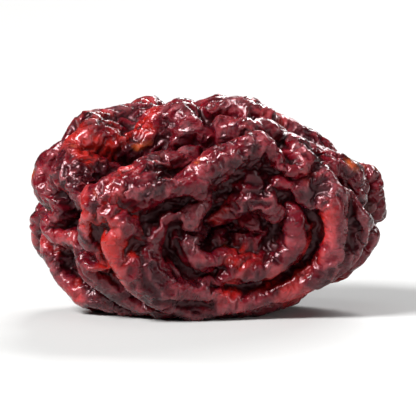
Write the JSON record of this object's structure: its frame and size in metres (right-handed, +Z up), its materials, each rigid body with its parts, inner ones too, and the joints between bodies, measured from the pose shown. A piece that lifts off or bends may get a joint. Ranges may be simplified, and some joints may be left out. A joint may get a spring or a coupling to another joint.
{
  "type": "dried cranberry",
  "caption": "Whole dried cranberry: dark red skin buckled into rounded ridges and deep creases, sunken sides, a puckered calyx end and a small flat resting spot.",
  "frame": {"origin": "middle of the box's underside, on the plane that the berry rests on", "axes": "+X along the berry from its stem end to its calyx end, +Y to the back, +Z up"},
  "size_m": [0.013, 0.0098, 0.0079],
  "materials": {
    "dried_skin": "satin to glossy, a little sticky, slightly see-through where thin"
  },
  "bodies": {
    "root": {"dried_cranberry": "dried_skin"}
  },
  "joints": []
}
